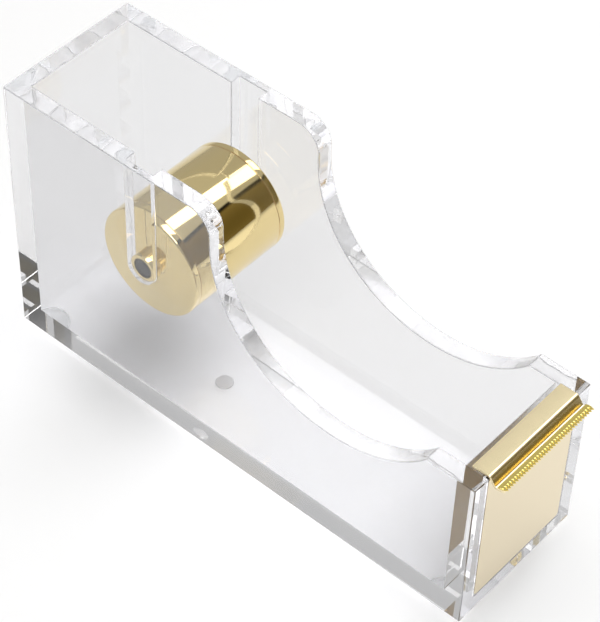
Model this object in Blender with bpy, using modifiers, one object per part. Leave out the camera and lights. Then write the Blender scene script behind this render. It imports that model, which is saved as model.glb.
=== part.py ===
"""Clear acrylic tape dispenser with a gold roller, front plate and cutter.

Metres, +Z up. +X points to the cutter, +Y to the dispenser's left side. The
origin is at the middle of the footprint, on the surface that the feet stand on.
"""
import math

import bmesh
import bpy
from mathutils import Matrix

# ---- clear body, welded from flat sheet ----
BODY_LENGTH = 0.119            # back face to the front edges of the side panels
BODY_WIDTH = 0.035
BACK_HEIGHT = 0.0655           # underside of the base to the top of the hood
FRONT_HEIGHT = 0.0395          # underside of the base to the top of the landing
SHEET = 0.004                  # thickness of every clear panel
HOOD_LENGTH = 0.0546           # back face to the front of the hood
HOOD_CORNER_RADIUS = 0.0053
HOOD_STRAIGHT = 0.0014         # upright edge between the hood's corner and the sweep
LANDING_LENGTH = 0.0114        # level top edge behind the front edge
SWEEP_DIP = 0.0107             # lowest point of the sweep, below the landing
GATE_MARK_DIAMETER = 0.0036    # round sink in the underside of the base
GATE_MARK_DEPTH = 0.0004
GATE_MARK_FROM_BACK = 0.0456
GATE_MARK_OFF_CENTRE = 0.0011

# ---- roller ----
AXLE_FROM_BACK = 0.0355
AXLE_HEIGHT = 0.0385           # above the underside of the base
ROLLER_DIAMETER = 0.025        # holds a core of one inch bore
ROLLER_SIDE_GAP = 0.0015       # flange face to the side panel, each side
SHELL_WALL = 0.0018
FLANGE_THICKNESS = 0.0016
FLANGE_RIM_RADIUS = 0.0007
SPIGOT_LENGTH = 0.003
SPIGOT_WALL = 0.0015
HUB_WALL = 0.0016
ROD_DIAMETER = 0.0042
BOSS_WALL = 0.0008             # ring of the boss around the rod's bore
ROD_SETBACK = 0.0001           # rod end behind the boss end
SLOT_DEPTH = 0.0025            # blind slots that hold the bosses

# ---- gold front ----
PLATE_THICKNESS = 0.001
PLATE_CORNER_RADIUS = 0.0008
CUTTER_SHEET = 0.0006
REST_DEPTH = 0.0036            # flat that the tape sticks to
REST_RISE = 0.0007             # flat's top above the side panels
REST_OVERHANG = -0.0004        # end of the flat, ahead of the front face
BEND_RADIUS = 0.0007
BEND_ANGLE = 55.0
WEB_LENGTH = 0.0014
TROUGH_RADIUS = 0.0009
LIP_ANGLE = 18.0
LIP_LENGTH = 0.0014
BLADE_THICKNESS = 0.0004
BLADE_WIDTH = 0.0015           # back edge to the roots of the teeth
BLADE_SETBACK = 0.0002         # back edge ahead of the trough
TOOTH_LENGTH = 0.0006
TOOTH_PITCH = 0.00074

# ---- adhesive and feet ----
FILM_THICKNESS = 0.0002
FILM_MARGIN = 0.0012
FOOT_DIAMETER = 0.008
FOOT_HEIGHT = 0.0015
FOOT_FROM_END = 0.006
FOOT_FROM_SIDE = 0.005

# ---- fits ----
JOINT_GAP = 0.0003             # between welded or resting pieces
FILM_GAP = 0.00005             # each side of an adhesive film
SIDE_CLEARANCE = 0.00015       # gold parts between the side panels, each side
PLATE_TOP_GAP = 0.0001         # plate's top edge to the bent sheet above it
SLOT_CLEARANCE = 0.0004        # boss in its slot, radial
BORE_CLEARANCE = 0.0002        # rod in the bosses, radial
SPIGOT_CLEARANCE = 0.0003      # spigot in the shell, radial
SLOT_END_GAP = 0.0006          # boss end to the floor of the slot

ROUND_STEPS = 48
SMALL_ROUND_STEPS = 24

CLEAR_ACRYLIC = ("clear acrylic", (0.93, 0.94, 0.95), 0.0, 0.03)
GOLD_PLATED = ("gold plated plastic", (0.83, 0.65, 0.32), 1.0, 0.12)
GOLD_MIRROR = ("gold mirror sheet", (0.90, 0.76, 0.50), 1.0, 0.05)
GOLD_STEEL = ("gold plated steel", (0.86, 0.68, 0.26), 1.0, 0.14)
DARK_ROD = ("dark acetal", (0.035, 0.025, 0.025), 0.0, 0.45)
ADHESIVE = ("clear adhesive", (0.85, 0.85, 0.82), 0.0, 0.5)
CLEAR_RUBBER = ("clear rubber", (0.80, 0.81, 0.82), 0.0, 0.35)

# ---- places that follow from the sizes ----
base_bottom = FOOT_HEIGHT + JOINT_GAP
inner_half = BODY_WIDTH / 2 - SHEET
panel_half = inner_half - JOINT_GAP
gold_half = inner_half - SIDE_CLEARANCE
film_seat = FILM_THICKNESS + 2 * FILM_GAP
roller_half = inner_half - ROLLER_SIDE_GAP
boss_end = inner_half + SLOT_DEPTH - SLOT_END_GAP
bore_radius = ROD_DIAMETER / 2 + BORE_CLEARANCE
boss_radius = bore_radius + BOSS_WALL
side_top = base_bottom + FRONT_HEIGHT
hood_top = base_bottom + BACK_HEIGHT
base_top = base_bottom + SHEET
half_sheet = CUTTER_SHEET / 2
bend = math.radians(BEND_ANGLE)
lip = math.radians(LIP_ANGLE)
lip_start_x = (REST_OVERHANG + BEND_RADIUS * math.sin(bend) + WEB_LENGTH * math.cos(bend)
               + TROUGH_RADIUS * (math.sin(bend) + math.sin(lip)))
blade_lift = half_sheet + FILM_GAP
blade_reach = BLADE_SETBACK + BLADE_WIDTH + TOOTH_LENGTH
cutter_reach = lip_start_x + blade_reach * math.cos(lip) - blade_lift * math.sin(lip)
back_x = -(BODY_LENGTH + cutter_reach) / 2
front_x = back_x + BODY_LENGTH
axle_x = back_x + AXLE_FROM_BACK
axle_z = base_bottom + AXLE_HEIGHT


def clear_scene():
    for obj in list(bpy.data.objects):
        bpy.data.objects.remove(obj, do_unlink=True)


def new_collection(name):
    collection = bpy.data.collections.new(name)
    bpy.context.scene.collection.children.link(collection)
    return collection


def give_material(obj, finish):
    """Give a piece its own Principled material."""
    label, colour, metallic, roughness = finish
    material = bpy.data.materials.new(obj.name + " " + label)
    material.use_nodes = True
    shader = material.node_tree.nodes["Principled BSDF"]
    shader.inputs["Base Color"].default_value = (*colour, 1.0)
    shader.inputs["Metallic"].default_value = metallic
    shader.inputs["Roughness"].default_value = roughness
    obj.data.materials.append(material)


def add_mesh_object(name, mesh, collection, finish=None):
    obj = bpy.data.objects.new(name, mesh)
    collection.objects.link(obj)
    if finish:
        give_material(obj, finish)
    return obj


def box(name, low, high, collection, finish):
    """Box between two corners, with its origin at its middle."""
    mesh = bpy.data.meshes.new(name)
    size = [b - a for a, b in zip(low, high)]
    shape = bmesh.new()
    bmesh.ops.create_cube(shape, size=1.0, matrix=Matrix.Diagonal((*size, 1.0)))
    shape.to_mesh(mesh)
    shape.free()
    obj = add_mesh_object(name, mesh, collection, finish)
    obj.location = [(a + b) / 2 for a, b in zip(low, high)]
    return obj


def extruded(name, outline, thickness, collection, finish=None):
    """Flat outline in X-Y, extruded along Z by its thickness, as a closed mesh."""
    curve = bpy.data.curves.new(name + " outline", "CURVE")
    curve.dimensions = "2D"
    curve.fill_mode = "BOTH"
    curve.extrude = thickness / 2
    spline = curve.splines.new("POLY")
    spline.points.add(len(outline) - 1)
    for point, (x, y) in zip(spline.points, outline):
        point.co = (x, y, 0.0, 1.0)
    spline.use_cyclic_u = True
    drawing = bpy.data.objects.new(name + " drawing", curve)
    bpy.context.scene.collection.objects.link(drawing)
    depsgraph = bpy.context.evaluated_depsgraph_get()
    mesh = bpy.data.meshes.new_from_object(drawing.evaluated_get(depsgraph))
    bpy.data.objects.remove(drawing, do_unlink=True)
    mesh.name = name
    shape = bmesh.new()
    shape.from_mesh(mesh)
    bmesh.ops.remove_doubles(shape, verts=shape.verts, dist=0.000001)
    shape.to_mesh(mesh)
    shape.free()
    return add_mesh_object(name, mesh, collection, finish)


def turned(name, profile, closed, steps, collection, finish):
    """Solid turned about local Z from a profile of (radius, height) points."""
    mesh = bpy.data.meshes.new(name)
    count = len(profile)
    edges = [(i, i + 1) for i in range(count - 1)]
    if closed:
        edges.append((count - 1, 0))
    mesh.from_pydata([(radius, 0.0, height) for radius, height in profile], edges, [])
    obj = add_mesh_object(name, mesh, collection, finish)
    screw = obj.modifiers.new("Turn", "SCREW")
    screw.axis = "Z"
    screw.steps = steps
    screw.render_steps = steps
    screw.use_merge_vertices = True
    screw.merge_threshold = 0.000005
    screw.use_smooth_shade = True
    return obj


def cut(obj, cutter):
    cutter.hide_render = True
    cutter.display_type = "WIRE"
    boolean = obj.modifiers.new("Cut " + cutter.name, "BOOLEAN")
    boolean.operation = "DIFFERENCE"
    boolean.solver = "EXACT"
    boolean.object = cutter


def arc(centre, radii, start, end, steps):
    """Points along an elliptical arc, angles in degrees."""
    points = []
    for i in range(steps + 1):
        angle = math.radians(start + (end - start) * i / steps)
        points.append((centre[0] + radii[0] * math.cos(angle), centre[1] + radii[1] * math.sin(angle)))
    return points


def rounded_rectangle(width, height, radius, steps=6):
    """Outline of a rectangle about the origin, with round corners."""
    points = []
    corners = ((1, 1, 0), (-1, 1, 90), (-1, -1, 180), (1, -1, 270))
    for side_x, side_y, start in corners:
        centre = (side_x * (width / 2 - radius), side_y * (height / 2 - radius))
        points += arc(centre, (radius, radius), start, start + 90, steps)
    return points


# ---- clear body ----

def side_outline():
    """Side panel's outline from its lower rear corner, X to the front, Y up."""
    sweep_top = BACK_HEIGHT - HOOD_CORNER_RADIUS - HOOD_STRAIGHT
    sweep_height = sweep_top - (FRONT_HEIGHT - SWEEP_DIP)
    span = BODY_LENGTH - LANDING_LENGTH - HOOD_LENGTH
    rise = math.asin((sweep_top - FRONT_HEIGHT) / sweep_height)
    sweep_half_length = span / (1 + math.cos(rise))
    sweep_centre = (HOOD_LENGTH + sweep_half_length, sweep_top)
    corner_centre = (HOOD_LENGTH - HOOD_CORNER_RADIUS, BACK_HEIGHT - HOOD_CORNER_RADIUS)
    corner_radii = (HOOD_CORNER_RADIUS, HOOD_CORNER_RADIUS)
    points = [(0.0, BACK_HEIGHT)]
    points += arc(corner_centre, corner_radii, 90, 0, 8)
    points += arc(sweep_centre, (sweep_half_length, sweep_height), 180, 360 - math.degrees(rise), 40)
    points += [(BODY_LENGTH, FRONT_HEIGHT), (BODY_LENGTH, 0.0), (0.0, 0.0)]
    return points


def slot_outline():
    """Open-topped slot with a round end that holds a boss."""
    radius = boss_radius + SLOT_CLEARANCE
    end_centre = AXLE_HEIGHT - boss_radius - JOINT_GAP + radius
    top = BACK_HEIGHT + SHEET
    points = [(AXLE_FROM_BACK - radius, top)]
    points += arc((AXLE_FROM_BACK, end_centre), (radius, radius), 180, 360, 16)
    points.append((AXLE_FROM_BACK + radius, top))
    return points


def stand_upright(obj, y):
    """Turn an outline drawn in X-Y upright, at one side of the dispenser."""
    obj.rotation_euler = (math.radians(90), 0.0, 0.0)
    obj.location = (back_x, y, base_bottom)


def side_panel(name, side, parts, cutters):
    panel = extruded(name, side_outline(), SHEET, parts, CLEAR_ACRYLIC)
    stand_upright(panel, side * (inner_half + SHEET / 2))
    slot = extruded(name + "_slot", slot_outline(), 2 * SLOT_DEPTH, cutters)
    stand_upright(slot, side * inner_half)
    cut(panel, slot)


def base_panel(parts, cutters):
    low = (back_x, -panel_half, base_bottom)
    high = (front_x, panel_half, base_top)
    base = box("base_panel", low, high, parts, CLEAR_ACRYLIC)
    mesh = bpy.data.meshes.new("gate_mark")
    shape = bmesh.new()
    radius = GATE_MARK_DIAMETER / 2
    bmesh.ops.create_cone(shape, cap_ends=True, segments=SMALL_ROUND_STEPS, radius1=radius,
                          radius2=radius, depth=2 * GATE_MARK_DEPTH)
    shape.to_mesh(mesh)
    shape.free()
    mark = add_mesh_object("gate_mark", mesh, cutters)
    mark.location = (back_x + GATE_MARK_FROM_BACK, -GATE_MARK_OFF_CENTRE, base_bottom)
    cut(base, mark)


def end_panels(parts):
    standing = base_top + JOINT_GAP
    box("back_panel", (back_x, -panel_half, standing), (back_x + SHEET, panel_half, hood_top),
        parts, CLEAR_ACRYLIC)
    outer = front_x - PLATE_THICKNESS - film_seat
    top = side_top + REST_RISE - CUTTER_SHEET - film_seat
    box("front_panel", (outer - SHEET, -panel_half, standing), (outer, panel_half, top),
        parts, CLEAR_ACRYLIC)
    return outer, top


# ---- gold front ----

def underside_drop(ahead):
    """How far the bent sheet's underside has come down, at a distance ahead of its flat."""
    radius = BEND_RADIUS - half_sheet
    bend_length = radius * math.sin(bend)
    if ahead <= 0.0:
        return 0.0
    if ahead <= bend_length:
        return radius - math.sqrt(radius ** 2 - ahead ** 2)
    return radius * (1 - math.cos(bend)) + (ahead - bend_length) * math.tan(bend)


def front_plate(panel_front, parts):
    """Mirror plate over the front panel, and the film that holds it."""
    low = base_top + JOINT_GAP
    high = side_top + REST_RISE - CUTTER_SHEET - underside_drop(-REST_OVERHANG) - PLATE_TOP_GAP
    height = high - low
    outline = rounded_rectangle(height, 2 * gold_half, PLATE_CORNER_RADIUS)
    plate = extruded("front_plate", outline, PLATE_THICKNESS, parts, GOLD_MIRROR)
    plate.rotation_euler = (0.0, math.radians(90), 0.0)
    plate.location = (front_x - PLATE_THICKNESS / 2, 0.0, (low + high) / 2)
    film_x = panel_front + FILM_GAP
    box("plate_adhesive", (film_x, FILM_MARGIN - gold_half, low + FILM_MARGIN),
        (film_x + FILM_THICKNESS, gold_half - FILM_MARGIN, high - FILM_MARGIN), parts, ADHESIVE)


def bent_centreline():
    """Middle line of the bent cutter sheet in X-Z, from the back of the flat."""
    top = REST_RISE - half_sheet
    flat_end = (REST_OVERHANG, top)
    bend_centre = (flat_end[0], flat_end[1] - BEND_RADIUS)
    points = [(REST_OVERHANG - REST_DEPTH, top)]
    points += arc(bend_centre, (BEND_RADIUS, BEND_RADIUS), 90, 90 - BEND_ANGLE, 6)
    web_x = points[-1][0] + WEB_LENGTH * math.cos(bend)
    web_z = points[-1][1] - WEB_LENGTH * math.sin(bend)
    trough_centre = (web_x + TROUGH_RADIUS * math.sin(bend), web_z + TROUGH_RADIUS * math.cos(bend))
    points += arc(trough_centre, (TROUGH_RADIUS, TROUGH_RADIUS), 270 - BEND_ANGLE, 270 + LIP_ANGLE, 10)
    lip_start = points[-1]
    points.append((lip_start[0] + LIP_LENGTH * math.cos(lip), lip_start[1] + LIP_LENGTH * math.sin(lip)))
    return points, lip_start


def thicken(centreline, half):
    """Closed outline of a strip, half a thickness to each side of its middle line."""
    upper, lower = [], []
    last = len(centreline) - 1
    for i, (x, z) in enumerate(centreline):
        before = centreline[max(i - 1, 0)]
        after = centreline[min(i + 1, last)]
        heading = math.atan2(after[1] - before[1], after[0] - before[0])
        shift_x, shift_z = -half * math.sin(heading), half * math.cos(heading)
        upper.append((x + shift_x, z + shift_z))
        lower.append((x - shift_x, z - shift_z))
    return upper + lower[::-1]


def tape_rest(panel_front, panel_top, parts):
    """Bent sheet with the flat, the trough and the lip, on its adhesive strip."""
    centreline, lip_start = bent_centreline()
    rest = extruded("tape_rest", thicken(centreline, half_sheet), 2 * gold_half, parts, GOLD_STEEL)
    rest.rotation_euler = (math.radians(90), 0.0, 0.0)
    rest.location = (front_x, 0.0, side_top)
    film_z = panel_top + FILM_GAP
    film_back = front_x + REST_OVERHANG - REST_DEPTH + FILM_GAP
    box("rest_adhesive", (film_back, FILM_MARGIN - gold_half, film_z),
        (panel_front - FILM_GAP, gold_half - FILM_MARGIN, film_z + FILM_THICKNESS), parts, ADHESIVE)
    return lip_start


def blade_outline():
    """Toothed strip in X-Y: back edge at X = 0, teeth towards +X."""
    tooth_count = round(2 * gold_half / TOOTH_PITCH)
    pitch = 2 * gold_half / tooth_count
    points = [(0.0, gold_half), (0.0, -gold_half)]
    for i in range(tooth_count):
        root_y = -gold_half + i * pitch
        points.append((BLADE_WIDTH, root_y))
        points.append((BLADE_WIDTH + TOOTH_LENGTH, root_y + pitch / 2))
    points.append((BLADE_WIDTH, gold_half))
    return points


def cutter_blade(lip_start, parts):
    blade = extruded("cutter_blade", blade_outline(), BLADE_THICKNESS, parts, GOLD_STEEL)
    lift = blade_lift + BLADE_THICKNESS / 2
    x = lip_start[0] + BLADE_SETBACK * math.cos(lip) - lift * math.sin(lip)
    z = lip_start[1] + BLADE_SETBACK * math.sin(lip) + lift * math.cos(lip)
    blade.rotation_euler = (0.0, -lip, 0.0)
    blade.location = (front_x + x, 0.0, side_top + z)


# ---- roller ----

def roller_cap(name, side, axle, parts):
    """Flange, spigot and bearing boss, turned in one piece, bored for the rod."""
    outer = ROLLER_DIAMETER / 2
    inner_face = roller_half - FLANGE_THICKNESS
    spigot = outer - SHELL_WALL - SPIGOT_CLEARANCE
    spigot_end = inner_face - SPIGOT_LENGTH
    hub = bore_radius + HUB_WALL
    rim = (outer - FLANGE_RIM_RADIUS, roller_half - FLANGE_RIM_RADIUS)
    profile = [(bore_radius, boss_end), (boss_radius, boss_end), (boss_radius, roller_half)]
    profile += arc(rim, (FLANGE_RIM_RADIUS, FLANGE_RIM_RADIUS), 90, 0, 4)
    profile += [(outer, inner_face), (spigot, inner_face), (spigot, spigot_end),
                (spigot - SPIGOT_WALL, spigot_end), (spigot - SPIGOT_WALL, inner_face),
                (hub, inner_face), (hub, spigot_end), (bore_radius, spigot_end)]
    cap = turned(name, profile, True, ROUND_STEPS, parts, GOLD_PLATED)
    cap.rotation_euler = (math.radians(-90 * side), 0.0, 0.0)
    cap.parent = axle


def roller_shell(axle, parts):
    outer = ROLLER_DIAMETER / 2
    half = roller_half - FLANGE_THICKNESS - JOINT_GAP
    inner = outer - SHELL_WALL
    profile = [(outer, half), (outer, -half), (inner, -half), (inner, half)]
    shell = turned("roller_shell", profile, True, ROUND_STEPS, parts, GOLD_PLATED)
    shell.rotation_euler = (math.radians(-90), 0.0, 0.0)
    shell.parent = axle


def axle_rod(axle, parts):
    radius = ROD_DIAMETER / 2
    half = boss_end - ROD_SETBACK
    mesh = bpy.data.meshes.new("axle_rod")
    shape = bmesh.new()
    bmesh.ops.create_cone(shape, cap_ends=True, segments=SMALL_ROUND_STEPS, radius1=radius,
                          radius2=radius, depth=2 * half)
    shape.to_mesh(mesh)
    shape.free()
    mesh.shade_smooth()
    mesh.set_sharp_from_angle(angle=math.radians(40))
    rod = add_mesh_object("axle_rod", mesh, parts, DARK_ROD)
    rod.rotation_euler = (math.radians(-90), 0.0, 0.0)
    rod.parent = axle


# ---- feet ----

def foot_profile():
    """Low dome: flat on top, rounded to a flat underneath."""
    radius = FOOT_DIAMETER / 2
    edge = FOOT_HEIGHT / 3
    points = [(0.0, FOOT_HEIGHT), (radius, FOOT_HEIGHT)]
    points += arc((radius - 2 * edge, FOOT_HEIGHT - edge), (2 * edge, 2 * edge), 0, -90, 5)
    points.append((0.0, 0.0))
    return points


def feet(parts):
    offset_x = BODY_LENGTH / 2 - FOOT_FROM_END
    offset_y = BODY_WIDTH / 2 - FOOT_FROM_SIDE
    middle = (back_x + front_x) / 2
    for end, side_x in (("front", 1), ("rear", -1)):
        for side, side_y in (("left", 1), ("right", -1)):
            foot = turned(f"foot_{end}_{side}", foot_profile(), False, SMALL_ROUND_STEPS,
                          parts, CLEAR_RUBBER)
            foot.location = (middle + side_x * offset_x, side_y * offset_y, 0.0)


def main():
    clear_scene()
    parts = new_collection("tape_dispenser")
    cutters = new_collection("cutters")
    base_panel(parts, cutters)
    side_panel("left_side_panel", 1, parts, cutters)
    side_panel("right_side_panel", -1, parts, cutters)
    panel_front, panel_top = end_panels(parts)
    front_plate(panel_front, parts)
    lip_start = tape_rest(panel_front, panel_top, parts)
    cutter_blade(lip_start, parts)
    axle = bpy.data.objects.new("axle_line", None)
    axle.location = (axle_x, 0.0, axle_z)
    parts.objects.link(axle)
    roller_shell(axle, parts)
    roller_cap("roller_cap_left", 1, axle, parts)
    roller_cap("roller_cap_right", -1, axle, parts)
    axle_rod(axle, parts)
    feet(parts)


main()
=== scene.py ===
"""Looks for a clear acrylic tape dispenser with a gold roller and a gold cutter.

Metres, +Z up, +X to the cutter, +Y to the dispenser's left side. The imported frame
gives the places. The sizes here only add what its boxes don't say: curves, bends,
teeth, edges and finishes.
"""
import math

import bmesh
import bpy
from bpy.props import FloatProperty, FloatVectorProperty, IntProperty, PointerProperty
from mathutils import Matrix, Vector


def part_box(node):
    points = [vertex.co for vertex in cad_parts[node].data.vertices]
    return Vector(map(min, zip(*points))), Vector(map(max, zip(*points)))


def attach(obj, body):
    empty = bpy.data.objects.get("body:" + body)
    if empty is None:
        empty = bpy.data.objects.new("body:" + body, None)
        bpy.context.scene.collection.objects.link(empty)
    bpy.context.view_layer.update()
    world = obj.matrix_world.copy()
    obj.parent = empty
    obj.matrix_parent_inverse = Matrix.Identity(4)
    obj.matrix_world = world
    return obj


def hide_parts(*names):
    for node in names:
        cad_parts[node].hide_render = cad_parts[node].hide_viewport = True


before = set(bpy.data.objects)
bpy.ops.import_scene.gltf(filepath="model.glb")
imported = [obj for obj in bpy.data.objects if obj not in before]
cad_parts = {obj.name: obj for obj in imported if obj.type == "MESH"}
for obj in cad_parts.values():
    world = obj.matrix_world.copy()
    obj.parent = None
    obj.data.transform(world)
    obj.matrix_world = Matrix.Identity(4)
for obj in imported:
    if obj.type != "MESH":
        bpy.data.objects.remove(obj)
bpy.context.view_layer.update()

bl_info = {
    "name": "Acrylic Tape Dispenser",
    "version": (1, 0, 0),
    "blender": (4, 5, 0),
    "location": "3D View > Sidebar > Dispenser",
    "description": "Builds the finished pieces, materials and studio of a clear tape dispenser",
    "category": "Add Mesh",
}

ROUND_STEPS = 128              # flats around a turned piece
OVERLAP = 0.002                # how far a cutter stands past what it cuts
MERGE = 0.000002               # points closer than this are one
LEVEL_ANGLE = 0.3              # degrees: flatter edges are taken out before bevelling
BEVELLED_SHARP = 15.0          # degrees: sharper edges stay crisp on a bevelled piece
TURNED_SHARP = 28.0            # the same on a turned piece
CAUGHT_AFTER = 14.0            # turns inside the clear sheet after which light counts as caught
CONTACT = 0.00003              # a film's reach into the sheet that it is pressed on


def srgb(code):
    """Linear RGB from an sRGB hex code."""
    values = [int(code[i:i + 2], 16) / 255 for i in (1, 3, 5)]
    return tuple(v / 12.92 if v <= 0.04045 else ((v + 0.055) / 1.055) ** 2.4 for v in values)


# ---- places that the frame gives ----
side_low, side_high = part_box("left_side_panel")
base_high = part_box("base_panel")[1]
back_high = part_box("back_panel")[1]
panel_low, panel_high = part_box("front_panel")
plate_low, plate_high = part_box("front_plate")
rest_low, rest_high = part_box("tape_rest")
blade_low, blade_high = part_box("cutter_blade")
shell_low, shell_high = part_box("roller_shell")
cap_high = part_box("roller_cap_left")[1]
rod_low, rod_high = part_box("axle_rod")
back_x, front_x = side_low.x, side_high.x
base_bottom, hood_top = side_low.z, side_high.z
base_top = base_high.z
inner_half, outer_half = side_low.y, side_high.y
body_length = front_x - back_x
axle_x, axle_z = (shell_low.x + shell_high.x) / 2, (shell_low.z + shell_high.z) / 2
drum_radius = (shell_high.z - shell_low.z) / 2
rod_radius = (rod_high.z - rod_low.z) / 2


# ---- settings ----

class BodySettings(bpy.types.PropertyGroup):
    """Sizes of the clear body that the frame's boxes don't give."""
    front_height: FloatProperty(name="Front height", description="Underside to the landing's top",
                                default=0.0395, unit="LENGTH")
    hood_length: FloatProperty(name="Hood length", description="Back face to the hood's front",
                               default=0.0546, unit="LENGTH")
    hood_radius: FloatProperty(name="Hood radius", description="Round corner of the hood",
                               default=0.0053, unit="LENGTH")
    hood_straight: FloatProperty(name="Hood straight", description="Upright edge under the round corner",
                                 default=0.0014, unit="LENGTH")
    landing: FloatProperty(name="Landing", description="Level top edge behind the front",
                           default=0.0114, unit="LENGTH")
    sweep_dip: FloatProperty(name="Sweep dip", description="Lowest point of the sweep under the landing",
                             default=0.0107, unit="LENGTH")
    slot_radius: FloatProperty(name="Slot radius", description="Round end of the boss slots",
                               default=0.0035, unit="LENGTH")
    slot_depth: FloatProperty(name="Slot depth", description="Slot into the side panel",
                              default=0.0025, unit="LENGTH")
    slot_lift: FloatProperty(name="Slot lift", description="Slot end's centre above the axle",
                             default=0.0001, unit="LENGTH")
    edge_bevel: FloatProperty(name="Edge bevel", description="Polished edge break of the sheet",
                              default=0.00018, unit="LENGTH")
    mark_radius: FloatProperty(name="Mark radius", description="Frosted round mark under the base",
                               default=0.0018, unit="LENGTH")
    mark_depth: FloatProperty(name="Mark depth", description="Depth of the round mark",
                              default=0.0004, unit="LENGTH")
    mark_from_back: FloatProperty(name="Mark from back", description="Back face to the mark",
                                  default=0.0456, unit="LENGTH")
    mark_off_centre: FloatProperty(name="Mark off centre", description="Mark towards the right side",
                                   default=0.0011, unit="LENGTH")


class RollerSettings(bpy.types.PropertyGroup):
    """Sizes of the roller's shell, caps and rod."""
    shell_wall: FloatProperty(name="Shell wall", description="Thickness of the drum",
                              default=0.0018, unit="LENGTH")
    side_gap: FloatProperty(name="Side gap", description="End cap to side panel",
                            default=0.0015, unit="LENGTH")
    seam_gap: FloatProperty(name="Seam gap", description="End cap to drum",
                            default=0.0001, unit="LENGTH")
    seam_radius: FloatProperty(name="Seam radius", description="Edge rounding beside each seam",
                               default=0.00006, unit="LENGTH")
    flange: FloatProperty(name="Flange", description="Thickness of the end cap's flange",
                          default=0.0016, unit="LENGTH")
    flange_round: FloatProperty(name="Flange rounding", description="Rounded rim of the end cap",
                                default=0.0005, unit="LENGTH")
    boss_radius: FloatProperty(name="Boss radius", description="Bearing boss of the end cap",
                               default=0.0031, unit="LENGTH")
    bore_radius: FloatProperty(name="Bore radius", description="Bore around the rod",
                               default=0.0023, unit="LENGTH")
    spigot_length: FloatProperty(name="Spigot length", description="Cap's spigot in the drum",
                                 default=0.003, unit="LENGTH")
    spigot_wall: FloatProperty(name="Spigot wall", description="Thickness of the spigot",
                               default=0.0015, unit="LENGTH")
    spigot_gap: FloatProperty(name="Spigot gap", description="Spigot to drum",
                              default=0.0003, unit="LENGTH")
    hub_wall: FloatProperty(name="Hub wall", description="Thickness of the hub around the rod",
                            default=0.0016, unit="LENGTH")
    rod_edge: FloatProperty(name="Rod edge", description="Broken edge of the rod's ends",
                            default=0.0003, unit="LENGTH")
    rod_dish: FloatProperty(name="Rod dish", description="Shallow dish in the rod's ends",
                            default=0.0002, unit="LENGTH")


class CutterSettings(bpy.types.PropertyGroup):
    """Sizes of the bent rest, the toothed blade and the mirror plate."""
    sheet: FloatProperty(name="Sheet", description="Thickness of the bent sheet",
                         default=0.0006, unit="LENGTH")
    rise: FloatProperty(name="Rise", description="Flat's top above the landing",
                        default=0.0007, unit="LENGTH")
    overhang: FloatProperty(name="Overhang", description="End of the flat ahead of the front face",
                            default=-0.0004, unit="LENGTH")
    depth: FloatProperty(name="Depth", description="Depth of the flat", default=0.0036, unit="LENGTH")
    bend_radius: FloatProperty(name="Bend radius", description="Bend after the flat",
                               default=0.0007, unit="LENGTH")
    bend_angle: FloatProperty(name="Bend angle", description="Slope of the web",
                              default=math.radians(55), unit="ROTATION")
    web: FloatProperty(name="Web", description="Sloping run after the bend",
                       default=0.0014, unit="LENGTH")
    trough_radius: FloatProperty(name="Trough radius", description="Bend between web and lip",
                                 default=0.0009, unit="LENGTH")
    lip_angle: FloatProperty(name="Lip angle", description="Rise of the lip",
                             default=math.radians(18), unit="ROTATION")
    lip: FloatProperty(name="Lip", description="Length of the lip", default=0.0014, unit="LENGTH")
    blade_thickness: FloatProperty(name="Blade thickness", description="Thickness of the blade",
                                   default=0.0004, unit="LENGTH")
    blade_depth: FloatProperty(name="Blade depth", description="Back edge to the tooth roots",
                               default=0.0015, unit="LENGTH")
    blade_setback: FloatProperty(name="Blade setback", description="Back edge ahead of the trough",
                                 default=0.0002, unit="LENGTH")
    tooth: FloatProperty(name="Tooth length", description="Root to tip", default=0.0006, unit="LENGTH")
    teeth: IntProperty(name="Teeth", description="Number of teeth", default=36, min=2)
    grind: FloatProperty(name="Grind", description="Grinding behind the tooth roots",
                         default=0.0006, unit="LENGTH")
    film_gap: FloatProperty(name="Film gap", description="Lip to blade", default=0.00005, unit="LENGTH")
    sheet_edge: FloatProperty(name="Sheet edge", description="Broken edge of the bent sheet",
                              default=0.00008, unit="LENGTH")
    plate_corner: FloatProperty(name="Plate corner", description="Round corner of the mirror plate",
                                default=0.0008, unit="LENGTH")
    plate_edge: FloatProperty(name="Plate edge", description="Broken edge of the mirror plate",
                              default=0.0001, unit="LENGTH")


class FinishSettings(bpy.types.PropertyGroup):
    """Colours of the finishes."""
    plating: FloatVectorProperty(name="Plating", description="Vacuum plated gold of the roller",
                                 subtype="COLOR", default=srgb("#F0DBA2"))
    mirror: FloatVectorProperty(name="Mirror", description="Gold mirror sheet",
                                subtype="COLOR", default=srgb("#E9DABA"))
    steel: FloatVectorProperty(name="Steel", description="Gold plated steel of the rest",
                               subtype="COLOR", default=srgb("#F6E6BC"))
    blade: FloatVectorProperty(name="Blade", description="Gold plated steel of the blade",
                               subtype="COLOR", default=srgb("#F3DC80"))
    edge: FloatVectorProperty(name="Plate edge", description="Backing lacquer of the mirror sheet",
                              subtype="COLOR", default=srgb("#4A3620"))
    rod: FloatVectorProperty(name="Rod", description="Dark acetal", subtype="COLOR",
                             default=srgb("#15100E"))
    bumper: FloatVectorProperty(name="Bumper", description="Clear polyurethane of the feet",
                                subtype="COLOR", default=srgb("#F2F3F3"))
    # painted reflection: this gold brown goes on the plate's film and stands in for the gold plate seen
    # through the clear panel
    backing: FloatVectorProperty(name="Backing", description="Film coloured with a painted reflection of the gold plate",
                                 subtype="COLOR", default=srgb("#C29A48"))
    foam: FloatVectorProperty(name="Foam tape", description="Acrylic foam under the rest",
                              subtype="COLOR", default=srgb("#E9E7DF"))


# ---- mesh helpers ----

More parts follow.
